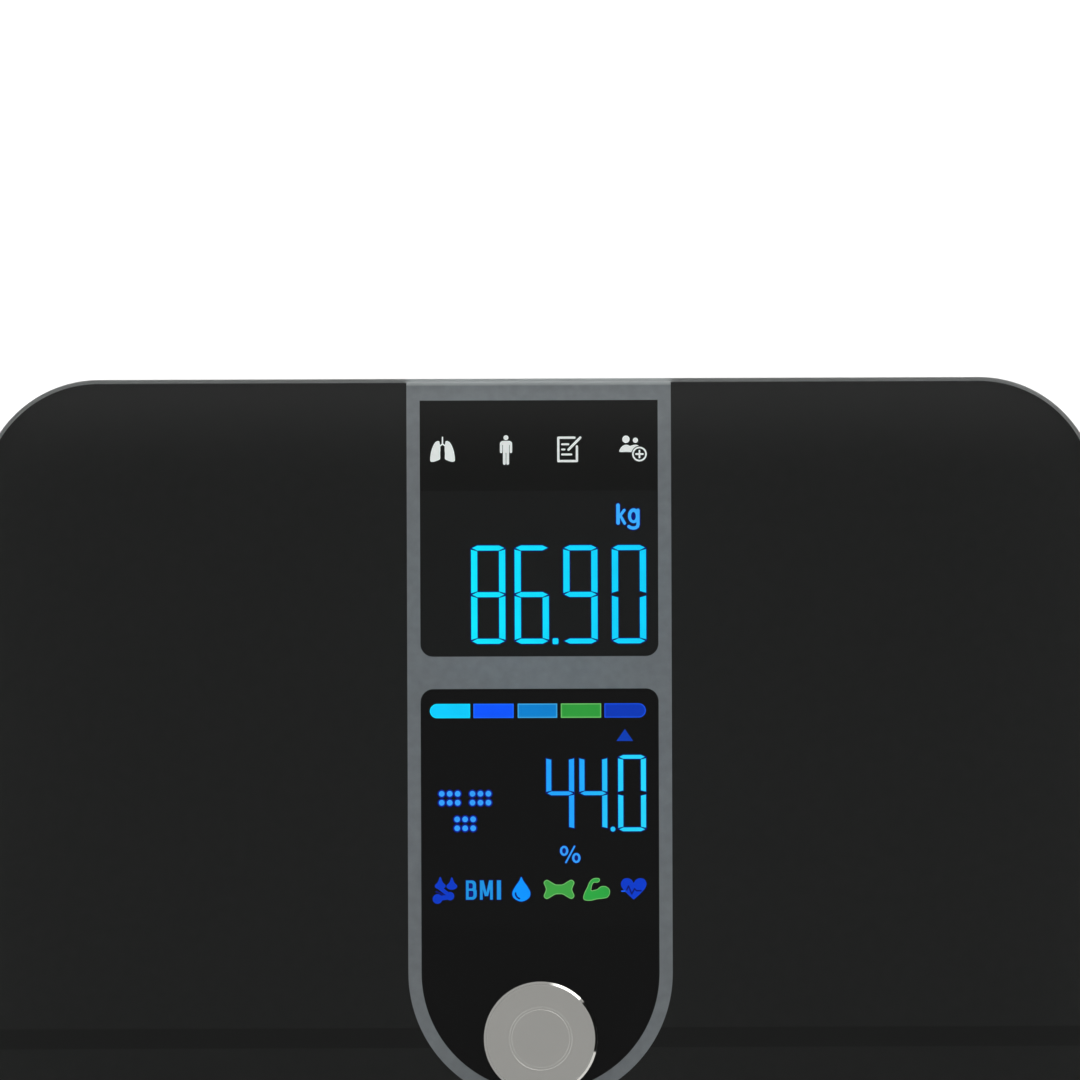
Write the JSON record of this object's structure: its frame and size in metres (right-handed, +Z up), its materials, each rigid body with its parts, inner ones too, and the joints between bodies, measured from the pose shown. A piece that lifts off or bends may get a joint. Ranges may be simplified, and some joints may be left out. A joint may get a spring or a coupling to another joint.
{
  "type": "digital bathroom scale",
  "caption": "Flat glass-topped digital bathroom scale with a central display column, a round metal badge, sprung load-cell feet and a hinged battery door.",
  "frame": {"origin": "middle of the footprint, on the floor under the foot pads", "axes": "+X to the user's right, +Y towards the display end, +Z up"},
  "size_m": [0.28, 0.33, 0.0292],
  "materials": {
    "glass": "6 mm tempered float glass with ground arrises",
    "ink": "opaque black screen print with a grey band, on the underside of the glass",
    "foam": "black double-sided foam tape and gasket foam",
    "body_plastic": "fine-textured black ABS",
    "badge_metal": "satin turned aluminium with a polished chamfer",
    "lcd": "dark negative liquid-crystal panel",
    "light_box": "white diffuser",
    "bezel": "white ABS",
    "board": "green solder mask",
    "chip": "black moulding compound",
    "button": "dark grey ABS",
    "cell": "plain sleeved steel can",
    "contact": "nickel-plated spring steel",
    "steel": "stamped alloy steel with bonded strain gauges",
    "wire": "PVC-sleeved wire group",
    "rubber": "black non-slip rubber",
    "screw": "black-zinc pan-head screw"
  },
  "bodies": {
    "platform": {"badge_tape": "foam", "base_cover": "body_plastic", "battery_1": "cell", "battery_2": "cell", "battery_3": "cell", "battery_4": "cell", "battery_contact_1": "contact", "battery_contact_2": "contact", "battery_contact_3": "contact", "battery_contact_4": "contact", "battery_spring_1": "contact", "battery_spring_2": "contact", "battery_spring_3": "contact", "battery_spring_4": "contact", "case_screw_1": "screw", "case_screw_2": "screw", "case_screw_3": "screw", "case_screw_4": "screw", "case_screw_5": "screw", "case_screw_6": "screw", "case_screw_7": "screw", "case_screw_8": "screw", "centre_badge": "badge_metal", "controller_chip": "chip", "display_bezel": "bezel", "display_gasket": "foam", "glass_platform": "glass", "glass_tape": "foam", "load_cell_back_left": "steel", "load_cell_back_right": "steel", "load_cell_front_left": "steel", "load_cell_front_right": "steel", "load_cell_retainer_back_left": "body_plastic", "load_cell_retainer_back_right": "body_plastic", "load_cell_retainer_front_left": "body_plastic", "load_cell_retainer_front_right": "body_plastic", "load_cell_wire_back_left": "wire", "load_cell_wire_back_right": "wire", "load_cell_wire_front_left": "wire", "load_cell_wire_front_right": "wire", "lower_backlight": "light_box", "lower_lcd": "lcd", "main_board": "board", "printed_mask": "ink", "radio_module": "chip", "top_frame": "body_plastic", "unit_switch": "chip", "upper_backlight": "light_box", "upper_lcd": "lcd"},
    "unit_button": {"unit_button": "button"},
    "battery_door": {"battery_door": "body_plastic"},
    "foot_back_left": {"foot_cup_back_left": "body_plastic", "foot_pad_back_left": "rubber"},
    "foot_back_right": {"foot_cup_back_right": "body_plastic", "foot_pad_back_right": "rubber"},
    "foot_front_left": {"foot_cup_front_left": "body_plastic", "foot_pad_front_left": "rubber"},
    "foot_front_right": {"foot_cup_front_right": "body_plastic", "foot_pad_front_right": "rubber"}
  },
  "joints": [
    {"name": "foot_back_left_travel", "type": "slide", "parent": "platform", "child": "foot_back_left", "axis": [0, 0, 1], "range_m": [0, 0.0005], "stiffness_N_per_m": 10000, "springref_m": -0.001},
    {"name": "foot_back_right_travel", "type": "slide", "parent": "platform", "child": "foot_back_right", "axis": [0, 0, 1], "range_m": [0, 0.0005], "stiffness_N_per_m": 10000, "springref_m": -0.001},
    {"name": "foot_front_left_travel", "type": "slide", "parent": "platform", "child": "foot_front_left", "axis": [0, 0, 1], "range_m": [0, 0.0005], "stiffness_N_per_m": 10000, "springref_m": -0.001},
    {"name": "foot_front_right_travel", "type": "slide", "parent": "platform", "child": "foot_front_right", "axis": [0, 0, 1], "range_m": [0, 0.0005], "stiffness_N_per_m": 10000, "springref_m": -0.001},
    {"name": "unit_button_press", "type": "slide", "parent": "platform", "child": "unit_button", "axis": [0, 0, 1], "range_m": [0, 0.0008], "stiffness_N_per_m": 1000, "springref_m": -0.0005},
    {"name": "battery_door_hinge", "type": "hinge", "parent": "platform", "child": "battery_door", "pos_m": [0, -0.0405, 0.004], "axis": [1, 0, 0], "range_deg": [0, 95]}
  ]
}
